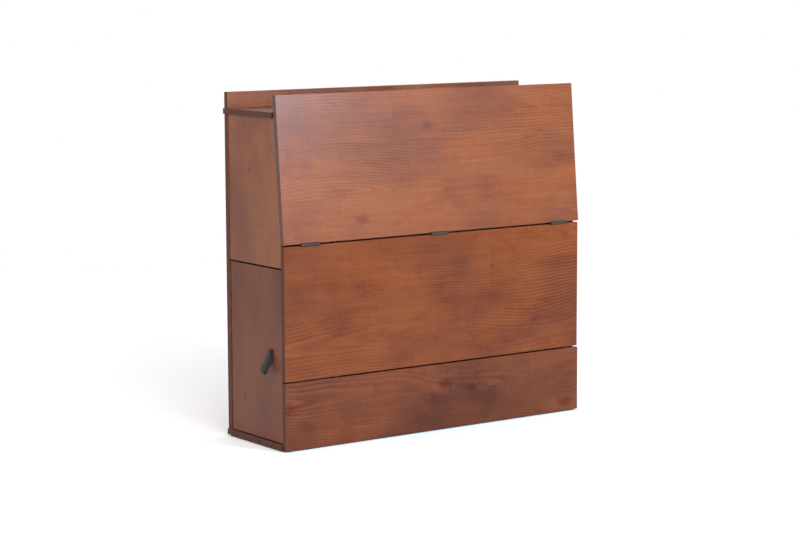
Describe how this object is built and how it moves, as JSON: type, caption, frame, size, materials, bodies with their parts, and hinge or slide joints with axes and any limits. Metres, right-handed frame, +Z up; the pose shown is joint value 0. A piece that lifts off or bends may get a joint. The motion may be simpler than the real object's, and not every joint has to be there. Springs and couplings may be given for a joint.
{
  "type": "wall bed",
  "caption": "Pine cabinet with a folding bed inside: the front rolls out, the mattress unfolds behind it, a slanted flap closes the top and a side door opens a locker.",
  "frame": {"origin": "on the floor under the middle of the closed cabinet", "axes": "+X to the right seen from the front, +Y towards the wall behind it, +Z up"},
  "size_m": [1.2075, 0.344, 1.0999],
  "materials": {
    "stained_pine": "satin",
    "inner_pine": "matte",
    "birch_slat": "matte",
    "hinge_iron": "satin",
    "zinc_steel": "satin",
    "black_steel": "satin",
    "leather": "matte",
    "ticking": "matte",
    "black_rubber": "matte",
    "dark_plastic": "matte"
  },
  "bodies": {
    "cabinet": {"back_panel": "stained_pine", "back_upstand": "stained_pine", "top_board": "stained_pine", "base_board": "stained_pine", "floor_glides": "dark_plastic", "upper_side_left": "stained_pine", "upper_side_right": "stained_pine", "lower_side_right": "stained_pine", "locker_partition": "inner_pine", "locker_top": "inner_pine", "locker_front": "inner_pine", "locker_shelf": "inner_pine", "niche_shelf": "inner_pine", "corner_posts": "inner_pine", "wall_rail": "inner_pine", "flap_catches": "dark_plastic", "pivot_brackets": "zinc_steel", "head_pivot_pins": "zinc_steel", "bracket_screws": "zinc_steel", "door_hinge_inner": "hinge_iron", "door_hinge_pins": "hinge_iron", "door_catch": "dark_plastic"},
    "side_door": {"side_door": "stained_pine", "door_hinge_outer": "hinge_iron", "leather_pull": "leather", "pull_screw": "zinc_steel"},
    "head_frame": {"head_side_rails": "inner_pine", "head_end_rails": "inner_pine", "head_slats": "birch_slat", "head_mattress": "ticking", "head_apex_hinges": "zinc_steel", "apex_rod": "zinc_steel"},
    "foot_frame": {"foot_side_rails": "inner_pine", "foot_end_rails": "inner_pine", "foot_slats": "birch_slat", "foot_mattress": "ticking", "foot_apex_hinges": "zinc_steel"},
    "front_carriage": {"bottom_front_board": "stained_pine", "mid_front_board": "stained_pine", "front_cleats": "inner_pine", "carriage_arms": "zinc_steel", "foot_pivot_pins": "zinc_steel", "caster_forks": "zinc_steel", "caster_axles": "zinc_steel", "flap_hinge_lower": "hinge_iron", "flap_hinge_pins": "hinge_iron"},
    "caster_wheels": {"caster_wheels": "black_rubber"},
    "flap": {"flap_board": "stained_pine", "flap_hinge_upper": "hinge_iron"},
    "middle_leg": {"leg_posts": "black_steel", "leg_crossbar": "black_steel", "leg_feet": "black_rubber"}
  },
  "joints": [
    {"name": "bed_fold", "type": "hinge", "parent": "cabinet", "child": "head_frame", "pos_m": [0.0825, 0.029, 0.14], "axis": [1, 0, 0], "range_deg": [0, 90]},
    {"name": "centre_fold", "type": "hinge", "parent": "head_frame", "child": "foot_frame", "pos_m": [0.0825, 0.006, 1.003], "axis": [1, 0, 0], "range_deg": [-180, 0]},
    {"name": "front_level", "type": "hinge", "parent": "foot_frame", "child": "front_carriage", "pos_m": [0.0825, -0.017, 0.14], "axis": [1, 0, 0], "range_deg": [0, 90]},
    {"name": "leg_swing", "type": "hinge", "parent": "head_frame", "child": "middle_leg", "pos_m": [0.0825, 0.006, 1.003], "axis": [1, 0, 0], "range_deg": [-90, 0]},
    {"name": "flap_hinge", "type": "hinge", "parent": "front_carriage", "child": "flap", "pos_m": [0, -0.1705, 0.641], "axis": [1, 0, 0], "range_deg": [0, 175]},
    {"name": "door_hinge", "type": "hinge", "parent": "cabinet", "child": "side_door", "pos_m": [-0.5792, 0.1476, 0.3], "axis": [0, 0, -1], "range_deg": [0, 85]},
    {"name": "wheel_roll", "type": "hinge", "parent": "front_carriage", "child": "caster_wheels", "pos_m": [0.0825, -0.1295, 0.02], "axis": [1, 0, 0], "continuous": true}
  ],
  "couplings": [
    {"joint": "centre_fold", "follows": "bed_fold", "ratio": -2},
    {"joint": "front_level", "follows": "bed_fold", "ratio": 1},
    {"joint": "leg_swing", "follows": "bed_fold", "ratio": -1}
  ]
}
